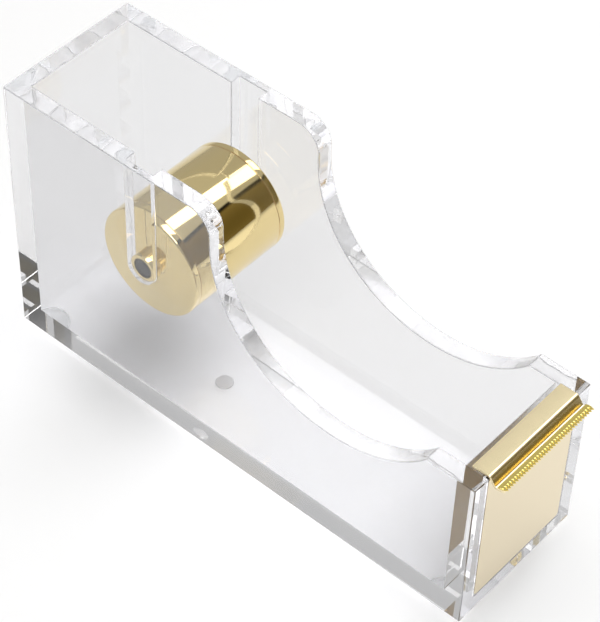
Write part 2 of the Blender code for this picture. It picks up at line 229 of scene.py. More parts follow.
def arc(centre, radii, start, end, steps):
    """Points along an elliptical arc, angles in degrees."""
    points = []
    for i in range(steps + 1):
        angle = math.radians(start + (end - start) * i / steps)
        points.append((centre[0] + radii[0] * math.cos(angle), centre[1] + radii[1] * math.sin(angle)))
    return points


def add_object(name, mesh):
    """Put a mesh in the scene as a piece at the origin."""
    piece = bpy.data.objects.new(name, mesh)
    bpy.context.scene.collection.objects.link(piece)
    return piece


def add_solid(name, outline, low, high):
    """Outline in X-Z made solid between two places on Y."""
    shape = bmesh.new()
    face = shape.faces.new([shape.verts.new((x, low, z)) for x, z in outline])
    grown = bmesh.ops.extrude_face_region(shape, geom=[face])
    moved = [v for v in grown["geom"] if isinstance(v, bmesh.types.BMVert)]
    bmesh.ops.translate(shape, verts=moved, vec=(0.0, high - low, 0.0))
    bmesh.ops.recalc_face_normals(shape, faces=shape.faces)
    mesh = bpy.data.meshes.new(name)
    shape.to_mesh(mesh)
    shape.free()
    return add_object(name, mesh)


def add_turned(name, profile, place, steps=ROUND_STEPS):
    """Closed profile of (radius, height) turned about Z, then put in place by a matrix."""
    shape = bmesh.new()
    verts = [shape.verts.new((radius, 0.0, height)) for radius, height in profile]
    edges = [shape.edges.new((a, b)) for a, b in zip(verts, verts[1:])]
    if profile[0][0] > 0 or profile[-1][0] > 0:
        edges.append(shape.edges.new((verts[-1], verts[0])))
    bmesh.ops.spin(shape, geom=verts + edges, cent=(0, 0, 0), axis=(0, 0, 1), angle=math.tau,
                   steps=steps, use_merge=True)
    bmesh.ops.remove_doubles(shape, verts=shape.verts, dist=MERGE)
    bmesh.ops.recalc_face_normals(shape, faces=shape.faces)
    mesh = bpy.data.meshes.new(name)
    shape.to_mesh(mesh)
    shape.free()
    mesh.transform(place)
    mesh.shade_smooth()
    mesh.set_sharp_from_angle(angle=math.radians(TURNED_SHARP))
    return add_object(name, mesh)


def cut(piece, cutter):
    """Take a cutter's shape out of a piece, for good."""
    boolean = piece.modifiers.new("Cut", "BOOLEAN")
    boolean.operation = "DIFFERENCE"
    boolean.solver = "EXACT"
    boolean.object = cutter
    settle(piece)
    bpy.data.objects.remove(cutter, do_unlink=True)


def settle(piece):
    """Turn a piece's modifiers into its plain mesh."""
    depsgraph = bpy.context.evaluated_depsgraph_get()
    mesh = bpy.data.meshes.new_from_object(piece.evaluated_get(depsgraph))
    piece.modifiers.clear()
    piece.data = mesh
    return mesh


def bevel(piece, width, angle, slot=-1):
    """Round every outward edge sharper than an angle. Inward corners stay as they are."""
    shape = bmesh.new()
    shape.from_mesh(piece.data)
    bmesh.ops.remove_doubles(shape, verts=shape.verts, dist=MERGE)
    bmesh.ops.dissolve_limit(shape, angle_limit=math.radians(LEVEL_ANGLE), verts=shape.verts,
                             edges=shape.edges)
    sharp = [edge for edge in shape.edges if edge.calc_face_angle_signed(0.0) > math.radians(angle)]
    bmesh.ops.bevel(shape, geom=sharp, offset=width, offset_type="OFFSET", segments=2,
                    profile=0.5, affect="EDGES", clamp_overlap=True, material=slot)
    shape.to_mesh(piece.data)
    shape.free()
    piece.data.shade_smooth()
    piece.data.set_sharp_from_angle(angle=math.radians(BEVELLED_SHARP))
    return piece.data


# ---- materials ----

SHEET_PASSES = srgb("#FAFAFB")
RUBBER_PASSES = (0.8, 0.8, 0.8)

# the clear body's material slots, and for each one its name, wave height, wave size,
# roughness and tint
CAST_FACE, POLISHED_EDGE, FROSTED, BUFFED_SWEEP, SANDED_EDGE, PAINTED_SHADE_EDGE = range(6)
CLEAR_FINISHES = (
    # cast between glass: dead flat, so what is behind it shows undisturbed
    ("cast acrylic sheet", 0.000002, 0.012, 0.0, "#ECECED"),
    # a flame melts the sawn edge into waves, which break up what shows through
    ("flame polished acrylic edge", 0.00011, 0.0045, 0.0, "#ECECED"),
    # blasted: a milky grey spot
    ("frosted acrylic", 0.00002, 0.0005, 0.6, "#B9B7B6"),
    # a felt wheel leaves the curve almost flat, with long shallow waves
    ("buffed acrylic sweep", 0.000012, 0.009, 0.0, "#ECECED"),
    # fine paper: white haze, no reflections
    ("sanded acrylic edge", 0.000004, 0.003, 0.5, "#FDFDFD"),
    # painted shade: a grey tint on every bevelled edge draws a thin dark line around each face
    ("acrylic edge with painted shade line", 0.000004, 0.002, 0.25, "#A6A6A8"),
)


def add_node(tree, kind, inputs=None, **settings):
    """Add a node. An input is named or numbered, and takes a value or a socket to link."""
    node = tree.nodes.new(kind)
    for key, value in settings.items():
        setattr(node, key, value)
    for key, value in (inputs or {}).items():
        if isinstance(value, bpy.types.NodeSocket):
            tree.links.new(value, node.inputs[key])
        else:
            node.inputs[key].default_value = value
    return node


def new_material(name):
    """An empty material and its node tree."""
    material = bpy.data.materials.new(name)
    material.use_nodes = True
    material.node_tree.nodes.clear()
    return material, material.node_tree


def let_lamps_through(tree, shader, share):
    """Finish a clear material: this share of a lamp's light goes straight through."""
    clear = add_node(tree, "ShaderNodeBsdfTransparent", {"Color": (*share, 1.0)})
    light = add_node(tree, "ShaderNodeLightPath").outputs
    mix = add_node(tree, "ShaderNodeMixShader",
                   {"Fac": light["Is Shadow Ray"], 1: shader, 2: clear.outputs["BSDF"]})
    add_node(tree, "ShaderNodeOutputMaterial", {"Surface": mix.outputs["Shader"]})


def acrylic(name, wave_height, wave_size, roughness, tint):
    """Acrylic sheet (PMMA): water clear, a faint cool grey where the eye looks along it."""
    material, tree = new_material(name)
    place = add_node(tree, "ShaderNodeTexCoord").outputs["Object"]
    waves = add_node(tree, "ShaderNodeTexNoise",
                     {"Vector": place, "Scale": 1 / wave_size, "Detail": 1.5, "Roughness": 0.45})
    bump = add_node(tree, "ShaderNodeBump",
                    {"Strength": 1.0, "Distance": wave_height, "Height": waves.outputs["Fac"]})
    shader = add_node(tree, "ShaderNodeBsdfPrincipled",
                      {"Base Color": (*srgb(tint), 1.0), "Roughness": roughness, "IOR": 1.49,
                       "Transmission Weight": 1.0, "Normal": bump.outputs["Normal"]})
    light = add_node(tree, "ShaderNodeLightPath").outputs
    # light caught in the sheet by total reflection comes out where the surface scatters it
    caught = add_node(tree, "ShaderNodeMath", {0: light["Ray Depth"], 1: CAUGHT_AFTER},
                      operation="GREATER_THAN").outputs[0]
    scatter = add_node(tree, "ShaderNodeBsdfTranslucent", {"Color": (*SHEET_PASSES, 1.0)})
    sheet = add_node(tree, "ShaderNodeMixShader",
                     {"Fac": caught, 1: shader.outputs["BSDF"], 2: scatter.outputs["BSDF"]})
    let_lamps_through(tree, sheet.outputs["Shader"], SHEET_PASSES)
    return material


def gold(name, colour, roughness, grain_size, grain_height, haze):
    """Gold finish: a metal's colour, with a fine unevenness that softens its reflections."""
    material, tree = new_material(name)
    place = add_node(tree, "ShaderNodeTexCoord").outputs["Object"]
    grain = add_node(tree, "ShaderNodeTexNoise",
                     {"Vector": place, "Scale": 1 / grain_size, "Detail": 2.0, "Roughness": 0.5})
    rough = add_node(tree, "ShaderNodeMapRange",
                     {"Value": grain.outputs["Fac"], "To Min": roughness,
                      "To Max": roughness + haze})
    bump = add_node(tree, "ShaderNodeBump",
                    {"Strength": 1.0, "Distance": grain_height, "Height": grain.outputs["Fac"]})
    shader = add_node(tree, "ShaderNodeBsdfPrincipled",
                      {"Base Color": (*colour, 1.0), "Metallic": 1.0,
                       "Roughness": rough.outputs["Result"], "Normal": bump.outputs["Normal"]})
    add_node(tree, "ShaderNodeOutputMaterial", {"Surface": shader.outputs["BSDF"]})
    return material


def moulded(name, colour, roughness, grain_size, grain_height, transmission=0.0):
    """Moulded or die cut plastic, with a fine surface grain."""
    material, tree = new_material(name)
    place = add_node(tree, "ShaderNodeTexCoord").outputs["Object"]
    grain = add_node(tree, "ShaderNodeTexNoise", {"Vector": place, "Scale": 1 / grain_size, "Detail": 3.0})
    rough = add_node(tree, "ShaderNodeMapRange",
                     {"Value": grain.outputs["Fac"], "To Min": roughness, "To Max": roughness + 0.1})
    bump = add_node(tree, "ShaderNodeBump",
                    {"Strength": 1.0, "Distance": grain_height, "Height": grain.outputs["Fac"]})
    shader = add_node(tree, "ShaderNodeBsdfPrincipled",
                      {"Base Color": (*colour, 1.0), "Roughness": rough.outputs["Result"],
                       "Transmission Weight": transmission, "Normal": bump.outputs["Normal"]})
    if transmission:
        let_lamps_through(tree, shader.outputs["BSDF"], RUBBER_PASSES)
    else:
        add_node(tree, "ShaderNodeOutputMaterial", {"Surface": shader.outputs["BSDF"]})
    return material


# ---- clear body ----

def body_outline(size):
    """The clear body seen from its right side."""
    sweep_top = hood_top - size.hood_radius - size.hood_straight
    landing_z = base_bottom + size.front_height
    sweep_height = sweep_top - (landing_z - size.sweep_dip)
    span = body_length - size.landing - size.hood_length
    rise = math.asin((sweep_top - landing_z) / sweep_height)
    sweep_half = span / (1 + math.cos(rise))
    hood_x = back_x + size.hood_length
    corner = (hood_x - size.hood_radius, hood_top - size.hood_radius)
    points = [(back_x, hood_top)]
    points += arc(corner, (size.hood_radius, size.hood_radius), 90, 0, 20)
    points += arc((hood_x + sweep_half, sweep_top), (sweep_half, sweep_height),
                  180, 360 - math.degrees(rise), 90)
    points += [(front_x, landing_z), (front_x, base_bottom), (back_x, base_bottom)]
    return points


def clear_finish_of(face, size, mark_centre):
    """The material slot that a face of the clear body takes."""
    in_mark = (face.center - mark_centre).length < size.mark_radius
    if in_mark and face.center.z > base_bottom + MERGE:
        return FROSTED
    # the bevelled edges keep their grey tint, a painted shade line
    if face.material_index == PAINTED_SHADE_EDGE:
        return PAINTED_SHADE_EDGE
    if abs(face.center.z - panel_high.z) < MERGE and abs(face.center.y) < inner_half:
        return SANDED_EDGE
    on_outline = abs(face.normal.y) < 0.8
    inside_bay = abs(face.center.y) < inner_half - MERGE and face.center.z < hood_top - MERGE
    if not on_outline or inside_bay:
        return CAST_FACE
    # the curves look forwards and up, the straight edges up, down, back or straight ahead
    return BUFFED_SWEEP if 0.02 < face.normal.x < 0.999 else POLISHED_EDGE


def build_clear_body(size):
    """One welded body: the outline's block, less the bay, the front recess, slots and mark."""
    body = add_solid("clear_body", body_outline(size), -outer_half, outer_half)
    above = hood_top + OVERLAP
    bay = [(back_high.x, above), (back_high.x, base_top), (panel_low.x, base_top),
           (panel_low.x, panel_high.z), (panel_high.x, panel_high.z), (panel_high.x, base_top),
           (front_x + OVERLAP, base_top), (front_x + OVERLAP, above)]
    cut(body, add_solid("bay", bay, -inner_half, inner_half))
    slot_reach = inner_half + size.slot_depth
    slot = [(axle_x - size.slot_radius, above)]
    slot += arc((axle_x, axle_z + size.slot_lift), (size.slot_radius, size.slot_radius), 180, 360, 32)
    slot += [(axle_x + size.slot_radius, above)]
    cut(body, add_solid("slots", slot, -slot_reach, slot_reach))
    mark_profile = [(0.0, size.mark_depth), (size.mark_radius, size.mark_depth),
                    (size.mark_radius, -size.mark_depth), (0.0, -size.mark_depth)]
    mark_place = Matrix.Translation((back_x + size.mark_from_back, -size.mark_off_centre, base_bottom))
    cut(body, add_turned("mark", mark_profile, mark_place, steps=48))
    body.data.materials.clear()
    # the bevels take the slot whose grey tint paints a shade line along each edge
    mesh = bevel(body, size.edge_bevel, angle=35.0, slot=PAINTED_SHADE_EDGE)
    mesh.name = "clear_body"
    for finish in CLEAR_FINISHES:
        mesh.materials.append(acrylic(*finish))
    for face in mesh.polygons:
        face.material_index = clear_finish_of(face, size, mark_place.translation)
    return body


# ---- roller ----

def across(y):
    """Place a turned piece's axis along the roller's axle, its height towards +Y."""
    return Matrix.Translation((axle_x, y, axle_z)) @ Matrix.Rotation(math.radians(-90), 4, "X")


def drum_profile(size):
    """Half section of the drum."""
    half = inner_half - size.side_gap - size.flange - size.seam_gap
    edge = size.seam_radius
    inner = drum_radius - size.shell_wall
    points = [(inner, -half), (drum_radius - edge, -half)]
    points += arc((drum_radius - edge, -half + edge), (edge, edge), -90, 0, 4)
    points += arc((drum_radius - edge, half - edge), (edge, edge), 0, 90, 4)
    points += [(inner, half)]
    return points


def cap_profile(size):
    """Half section of an end cap, heights measured from the roller's middle."""
    outer_face = inner_half - size.side_gap
    inner_face = outer_face - size.flange
    boss_end = cap_high.y
    rim = size.flange_round
    edge = size.seam_radius
    bore, boss = size.bore_radius, size.boss_radius
    spigot = drum_radius - size.shell_wall - size.spigot_gap
    spigot_end = inner_face - size.spigot_length
    hub = bore + size.hub_wall
    points = [(bore, boss_end - edge)]
    points += arc((bore + edge, boss_end - edge), (edge, edge), 180, 90, 3)
    points += arc((boss - edge, boss_end - edge), (edge, edge), 90, 0, 3)
    points += arc((boss + edge, outer_face + edge), (edge, edge), 180, 270, 3)
    points += arc((drum_radius - rim, outer_face - rim), (rim, rim), 90, 0, 10)
    points += arc((drum_radius - edge, inner_face + edge), (edge, edge), 0, -90, 4)
    points += [(spigot, inner_face), (spigot, spigot_end), (spigot - size.spigot_wall, spigot_end),
               (spigot - size.spigot_wall, inner_face), (hub, inner_face), (hub, spigot_end),
               (bore, spigot_end)]
    return points


def rod_profile(size):
    """Half section of the rod, with broken edges and dished ends."""
    half, edge, dish = rod_high.y, size.rod_edge, size.rod_dish
    return [(0.0, dish - half), (rod_radius / 3, dish - half), (rod_radius - edge, -half),
            (rod_radius, edge - half), (rod_radius, half - edge), (rod_radius - edge, half),
            (rod_radius / 3, half - dish), (0.0, half - dish)]


# ---- bumpers ----

def bumper_profile(radius, height):
    """Half section of a bumper, its round edge downwards."""
    edge = height / 3
    points = [(0.0, height), (radius - edge / 3, height), (radius, height - edge)]
    points += arc((radius - 2 * edge, height - edge), (2 * edge, 2 * edge), 0, -90, 12)[1:]
    return points + [(0.0, 0.0)]


# ---- gold front ----

def bent_centreline(size):
    """Middle line of the bent sheet in X-Z from the front face and the landing's top."""
    half = size.sheet / 2
    bend, lip = math.degrees(size.bend_angle), math.degrees(size.lip_angle)
    top = size.rise - half
    centre = (size.overhang, top - size.bend_radius)
    points = [(size.overhang - size.depth, top)]
    points += arc(centre, (size.bend_radius, size.bend_radius), 90, 90 - bend, 14)
    web_x = points[-1][0] + size.web * math.cos(size.bend_angle)
    web_z = points[-1][1] - size.web * math.sin(size.bend_angle)
    trough = (web_x + size.trough_radius * math.sin(size.bend_angle),
              web_z + size.trough_radius * math.cos(size.bend_angle))
    points += arc(trough, (size.trough_radius, size.trough_radius), 270 - bend, 270 + lip, 18)
    lip_start = points[-1]
    points.append((lip_start[0] + size.lip * math.cos(size.lip_angle),
                   lip_start[1] + size.lip * math.sin(size.lip_angle)))
    return points, lip_start


def thicken(line, half):
    """Outline of a strip, half a thickness to each side of its middle line."""
    upper, lower = [], []
    for i, (x, z) in enumerate(line):
        before, after = line[max(i - 1, 0)], line[min(i + 1, len(line) - 1)]
        heading = math.atan2(after[1] - before[1], after[0] - before[0])
        shift = (-half * math.sin(heading), half * math.cos(heading))
        upper.append((x + shift[0], z + shift[1]))
        lower.append((x - shift[0], z - shift[1]))
    return upper + lower[::-1]


def landing_z():
    """Height of the landing's top."""
    return base_bottom + bpy.context.scene.dispenser_body.front_height


def build_tape_rest(size):
    """Bent sheet: the flat that holds the tape's end, the trough and the lip."""
    line = bent_centreline(size)[0]
    outline = [(front_x + x, landing_z() + z) for x, z in thicken(line, size.sheet / 2)]
    rest = add_solid("bent_tape_rest", outline, rest_low.y, rest_high.y)
    bevel(rest, size.sheet_edge, angle=50.0)
    return rest


TOOTH_FACES = 4.0              # faces across one tooth
STRIP_POINTS = 12              # points from the back edge to the tips
RIDGE_LOSS = 0.5               # share of the thickness that grinding takes off a tooth's ridge
VALLEY_LOSS = 0.35             # and how much more off a valley


def blade_tree():
    """Flat strip with ground teeth: the grinding leaves a facet on each side of every tooth."""
    tree = bpy.data.node_groups.new("Toothed Blade", "GeometryNodeTree")
    tree.interface.new_socket("Geometry", in_out="OUTPUT", socket_type="NodeSocketGeometry")
    for name, kind in (("Width", "Float"), ("Depth", "Float"), ("Tooth Length", "Float"),
                       ("Thickness", "Float"), ("Grind Length", "Float"), ("Teeth", "Int"),
                       ("Place", "Vector"), ("Turn", "Vector"), ("Material", "Material")):
        tree.interface.new_socket(name, in_out="INPUT", socket_type="NodeSocket" + kind)
    given = add_node(tree, "NodeGroupInput").outputs
    reach = add_node(tree, "ShaderNodeMath", {0: given["Depth"], 1: given["Tooth Length"]},
                     operation="ADD").outputs[0]
    columns = add_node(tree, "ShaderNodeMath", {0: given["Teeth"], 1: TOOTH_FACES, 2: 1.0},
                       operation="MULTIPLY_ADD").outputs[0]
    grid = add_node(tree, "GeometryNodeMeshGrid",
                    {"Size X": reach, "Size Y": given["Width"], "Vertices X": STRIP_POINTS,
                     "Vertices Y": columns}).outputs["Mesh"]
    place = add_node(tree, "ShaderNodeSeparateXYZ",
                     {0: add_node(tree, "GeometryNodeInputPosition").outputs[0]}).outputs
    # 0 at the root between two teeth, 1 on a tooth's ridge
    flanks = add_node(tree, "ShaderNodeMath", {0: given["Teeth"], 1: 2.0}, operation="MULTIPLY")
    half_pitch = add_node(tree, "ShaderNodeMath", {0: given["Width"], 1: flanks.outputs[0]},
                          operation="DIVIDE").outputs[0]
    from_side = add_node(tree, "ShaderNodeMath", {0: given["Width"], 1: 0.5, 2: place["Y"]},
                         operation="MULTIPLY_ADD").outputs[0]
    wave = add_node(tree, "ShaderNodeMath", {0: from_side, 1: half_pitch},
                    operation="PINGPONG").outputs[0]
    ridge = add_node(tree, "ShaderNodeMath", {0: wave, 1: half_pitch}, operation="DIVIDE").outputs[0]
    # 0 where the grinding starts, 1 at the front edge
    half_reach = add_node(tree, "ShaderNodeMath", {0: reach, 1: 0.5}, operation="MULTIPLY").outputs[0]
    start = add_node(tree, "ShaderNodeMath", {0: half_reach, 1: given["Grind Length"]},
                     operation="SUBTRACT").outputs[0]
    ground = add_node(tree, "ShaderNodeMapRange",
                      {"Value": place["X"], "From Min": start, "From Max": half_reach}).outputs["Result"]
    held = add_node(tree, "GeometryNodeCaptureAttribute", {"Geometry": grid})
    held.capture_items.new("FLOAT", "Ridge")
    held.capture_items.new("FLOAT", "Ground")
    tree.links.new(ridge, held.inputs["Ridge"])
    tree.links.new(ground, held.inputs["Ground"])
    ridge, ground = held.outputs["Ridge"], held.outputs["Ground"]
    valley = add_node(tree, "ShaderNodeMath", {0: 1.0, 1: ridge}, operation="SUBTRACT").outputs[0]
    bite = add_node(tree, "ShaderNodeMath", {0: valley, 1: ground}, operation="MULTIPLY").outputs[0]
    notch = add_node(tree, "ShaderNodeMath", {0: bite, 1: given["Tooth Length"]}, operation="MULTIPLY")
    back = add_node(tree, "ShaderNodeMath", {0: notch.outputs[0], 1: -1.0},
                    operation="MULTIPLY").outputs[0]
    strip = add_node(tree, "GeometryNodeSetPosition",
                     {"Geometry": held.outputs["Geometry"],
                      "Offset": add_node(tree, "ShaderNodeCombineXYZ", {"X": back}).outputs[0]}
                     ).outputs[0]
    solid = add_node(tree, "GeometryNodeExtrudeMesh",
                     {"Mesh": strip, "Offset Scale": given["Thickness"], "Individual": False})
    slope = add_node(tree, "ShaderNodeMath", {0: valley, 1: VALLEY_LOSS, 2: RIDGE_LOSS},
                     operation="MULTIPLY_ADD").outputs[0]
    loss = add_node(tree, "ShaderNodeMath", {0: slope, 1: ground}, operation="MULTIPLY").outputs[0]
    depth = add_node(tree, "ShaderNodeMath", {0: loss, 1: given["Thickness"]}, operation="MULTIPLY")
    down = add_node(tree, "ShaderNodeMath", {0: depth.outputs[0], 1: -1.0},
                    operation="MULTIPLY").outputs[0]
    top = add_node(tree, "GeometryNodeSetPosition",
                   {"Geometry": solid.outputs["Mesh"], "Selection": solid.outputs["Top"],
                    "Offset": add_node(tree, "ShaderNodeCombineXYZ", {"Z": down}).outputs[0]}
                   ).outputs[0]
    under = add_node(tree, "GeometryNodeFlipFaces", {"Mesh": strip}).outputs[0]
    both = add_node(tree, "GeometryNodeJoinGeometry", {"Geometry": top})
    tree.links.new(under, both.inputs["Geometry"])
    closed = add_node(tree, "GeometryNodeMergeByDistance",
                      {"Geometry": both.outputs[0], "Distance": MERGE}).outputs[0]
    ahead = add_node(tree, "ShaderNodeCombineXYZ", {"X": half_reach}).outputs[0]
    slid = add_node(tree, "GeometryNodeTransform", {"Geometry": closed, "Translation": ahead}).outputs[0]
    set_down = add_node(tree, "GeometryNodeTransform",
                        {"Geometry": slid, "Translation": given["Place"],
                         "Rotation": given["Turn"]}).outputs[0]
    real = add_node(tree, "GeometryNodeRealizeInstances", {"Geometry": set_down}).outputs[0]
    painted = add_node(tree, "GeometryNodeSetMaterial",
                       {"Geometry": real, "Material": given["Material"]}).outputs[0]
    add_node(tree, "NodeGroupOutput", {"Geometry": painted})
    return tree


def set_inputs(modifier, values):
    """Set a geometry tree's inputs by name, through their identifiers."""
    sockets = {item.name: item.identifier for item in modifier.node_group.interface.items_tree
               if item.item_type == "SOCKET" and item.in_out == "INPUT"}
    for name, value in values.items():
        modifier[sockets[name]] = value


def build_blade(size, material):
    """Toothed strip glued along the rest's lip."""
    lip_start = bent_centreline(size)[1]
    lift = size.sheet / 2 + size.film_gap
    along, up = math.cos(size.lip_angle), math.sin(size.lip_angle)
    x = front_x + lip_start[0] + size.blade_setback * along - lift * up
    z = landing_z() + lip_start[1] + size.blade_setback * up + lift * along
    blade = add_object("toothed_blade", bpy.data.meshes.new("toothed_blade"))
    modifier = blade.modifiers.new("Teeth", "NODES")
    modifier.node_group = blade_tree()
    set_inputs(modifier, {"Width": blade_high.y - blade_low.y, "Depth": size.blade_depth,
                          "Tooth Length": size.tooth, "Thickness": size.blade_thickness,
                          "Grind Length": size.tooth + size.grind, "Teeth": size.teeth,
                          "Place": (x, 0.0, z), "Turn": (0.0, -size.lip_angle, 0.0),
                          "Material": material})
    mesh = settle(blade)
    while mesh.materials and mesh.materials[0] is None:
        mesh.materials.pop(index=0)
    return blade


def build_mirror_plate(size, mirror, lacquer):
    """Mirror sheet with round corners and broken edges: mirror ahead, lacquer on the rest."""
    radius = size.plate_corner
    half_y, half_z = plate_high.y, (plate_high.z - plate_low.z) / 2
    middle = (plate_high.z + plate_low.z) / 2
    shape = bmesh.new()
    verts = []
    for side_y, side_z, start in ((1, 1, 0), (-1, 1, 90), (-1, -1, 180), (1, -1, 270)):
        centre = (side_y * (half_y - radius), middle + side_z * (half_z - radius))
        for y, z in arc(centre, (radius, radius), start, start + 90, 8):
            verts.append(shape.verts.new((plate_low.x, y, z)))
    face = shape.faces.new(verts)
    grown = bmesh.ops.extrude_face_region(shape, geom=[face])
    moved = [v for v in grown["geom"] if isinstance(v, bmesh.types.BMVert)]
    bmesh.ops.translate(shape, verts=moved, vec=(plate_high.x - plate_low.x, 0.0, 0.0))
    bmesh.ops.recalc_face_normals(shape, faces=shape.faces)
    mesh = bpy.data.meshes.new("mirror_plate")
    shape.to_mesh(mesh)
    shape.free()
    plate = add_object("mirror_plate", mesh)
    bevel(plate, size.plate_edge, angle=50.0)
    plate.data.materials.append(mirror)
    plate.data.materials.append(lacquer)
    for face in plate.data.polygons:
        face.material_index = 0 if face.normal.x > 0.3 else 1
    return plate


# ---- studio ----

FLOOR_HALF = 4.0
FLOOR_COLOUR = (0.93, 0.93, 0.93)
LIGHT_TURNS = 32
CAMERA_AZIMUTH, CAMERA_ELEVATION, CAMERA_ROLL = 41.9, 46.93, 0.25
CAMERA_TARGET = (0.04554, 0.0, 0.01747)     # from the middle of the underside's back edge
CAMERA_DISTANCE = 0.4652
CAMERA_LENS = 131.6
CAMERA_SHIFT = (0.1032, 0.0177)
# name, place, size and power of each soft lamp
LAMPS = (("narrow softbox", (0.045, 0.38, 0.66), (0.26, 0.5), 1.2),
         ("wide softbox", (0.3, 0.0, 0.95), (0.6, 0.6), 5.0))
CARD_DIRECTION = (0.75, 0.51, 0.28)
# cosine of the angle from the card's middle, and the colour there: room, black rim, card
CARD_STOPS = ((0.85, "#C4C4C4"), (0.868, "#1A1612"), (0.89, "#1A1612"), (0.92, "#7C6F48"),
              (1.0, "#665A34"))


def room():
    """Even pale room. A dark card ahead on the left gives the gold its contrast."""
    world = bpy.data.worlds.new("studio")
    world.use_nodes = True
    tree = world.node_tree
    tree.nodes.clear()
    towards = add_node(tree, "ShaderNodeTexCoord").outputs["Generated"]
    near = add_node(tree, "ShaderNodeVectorMath",
                    {0: towards, 1: Vector(CARD_DIRECTION).normalized()}, operation="DOT_PRODUCT")
    ramp = add_node(tree, "ShaderNodeValToRGB", {"Fac": near.outputs["Value"]})
    stops = ramp.color_ramp.elements
    while len(stops) < len(CARD_STOPS):
        stops.new(0.5)
    for stop, (where, colour) in zip(stops, CARD_STOPS):
        stop.position = where
        stop.color = (*srgb(colour), 1.0)
    light = add_node(tree, "ShaderNodeBackground", {"Color": ramp.outputs["Color"], "Strength": 1.0})
    add_node(tree, "ShaderNodeOutputWorld", {"Surface": light.outputs[0]})
    return world


def add_floor():
    """Wide flat board under the dispenser."""
    shape = bmesh.new()
    bmesh.ops.create_grid(shape, x_segments=1, y_segments=1, size=FLOOR_HALF)
    mesh = bpy.data.meshes.new("floor")
    shape.to_mesh(mesh)
    shape.free()
    # matt paint: pale, with hardly any shine
    material, tree = new_material("pale painted board")
    shader = add_node(tree, "ShaderNodeBsdfPrincipled",
                      {"Base Color": (*FLOOR_COLOUR, 1.0), "Roughness": 0.9,
                       "Specular IOR Level": 0.1})
    add_node(tree, "ShaderNodeOutputMaterial", {"Surface": shader.outputs["BSDF"]})
    mesh.materials.append(material)
    return add_object("floor", mesh)


def add_lamp(name, place, size, power):
    """Soft lamp that points at the roller's height in the dispenser's middle."""
    lamp = bpy.data.lights.new(name, "AREA")
    lamp.shape = "RECTANGLE"
    lamp.size, lamp.size_y = size
    lamp.energy = power
    light = bpy.data.objects.new(name, lamp)
    light.location = place
    aim = Vector((0.0, 0.0, axle_z)) - Vector(place)
    light.rotation_euler = aim.to_track_quat("-Z", "Y").to_euler()
    bpy.context.scene.collection.objects.link(light)


def add_camera():
    """Camera ahead on the right and above, with a long lens."""
    azimuth, elevation = math.radians(CAMERA_AZIMUTH), math.radians(CAMERA_ELEVATION)
    target = Vector((back_x, 0.0, base_bottom)) + Vector(CAMERA_TARGET)
    back = Vector((math.sin(azimuth) * math.cos(elevation), -math.cos(azimuth) * math.cos(elevation),
                   math.sin(elevation)))
    data = bpy.data.cameras.new("camera")
    data.lens = CAMERA_LENS
    data.sensor_width = 36.0
    data.shift_x, data.shift_y = CAMERA_SHIFT
    data.clip_start = 0.01
    camera = bpy.data.objects.new("camera", data)
    camera.location = target + back * CAMERA_DISTANCE
    turn = (-back).to_track_quat("-Z", "Y").to_matrix().to_4x4()
    roll = Matrix.Rotation(math.radians(CAMERA_ROLL), 4, "Z")
    camera.rotation_euler = (turn @ roll).to_euler()
    bpy.context.scene.collection.objects.link(camera)
    return camera


# ---- operators ----

class DISPENSER_OT_clear_body(bpy.types.Operator):
    """Build the welded clear body"""
    bl_idname = "dispenser.clear_body"
    bl_label = "Clear Body"

    def execute(self, context):
        body = build_clear_body(context.scene.dispenser_body)
        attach(body, "body")
        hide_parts("base_panel", "back_panel", "front_panel", "left_side_panel",
                    "right_side_panel")
        return {"FINISHED"}


class DISPENSER_OT_roller(bpy.types.Operator):
    """Build the drum and its two end caps"""
    bl_idname = "dispenser.roller"
    bl_label = "Roller"

    def execute(self, context):
        size = context.scene.dispenser_roller
        finish = context.scene.dispenser_finish
        # metal film on a glossy moulding: a sharp mirror, faintly uneven
        plating = gold("vacuum plated ABS", finish.plating, roughness=0.06, grain_size=0.0012,
                       grain_height=0.0000015, haze=0.03)
        drum = add_turned("gold_drum", drum_profile(size), across(0.0))
        drum.data.materials.append(plating)
        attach(drum, "roller")
        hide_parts("roller_shell")
        for name, turn in (("left", 0.0), ("right", 180.0)):
            place = across(0.0) @ Matrix.Rotation(math.radians(turn), 4, "X")
            cap = add_turned("gold_cap_" + name, cap_profile(size), place)
            cap.data.materials.append(plating)
            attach(cap, "roller")
            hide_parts("roller_cap_" + name)
        return {"FINISHED"}


class DISPENSER_OT_rod(bpy.types.Operator):
    """Build the dark rod that the roller turns on"""
    bl_idname = "dispenser.rod"
    bl_label = "Rod"

    def execute(self, context):
        rod = add_turned("dark_rod", rod_profile(context.scene.dispenser_roller), across(0.0), steps=64)
        # turned from bar: near black, with a dull shine
        rod.data.materials.append(moulded("black acetal", context.scene.dispenser_finish.rod,
                                          roughness=0.38, grain_size=0.0004, grain_height=0.000004))
        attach(rod, "axle")
        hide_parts("axle_rod")
        return {"FINISHED"}


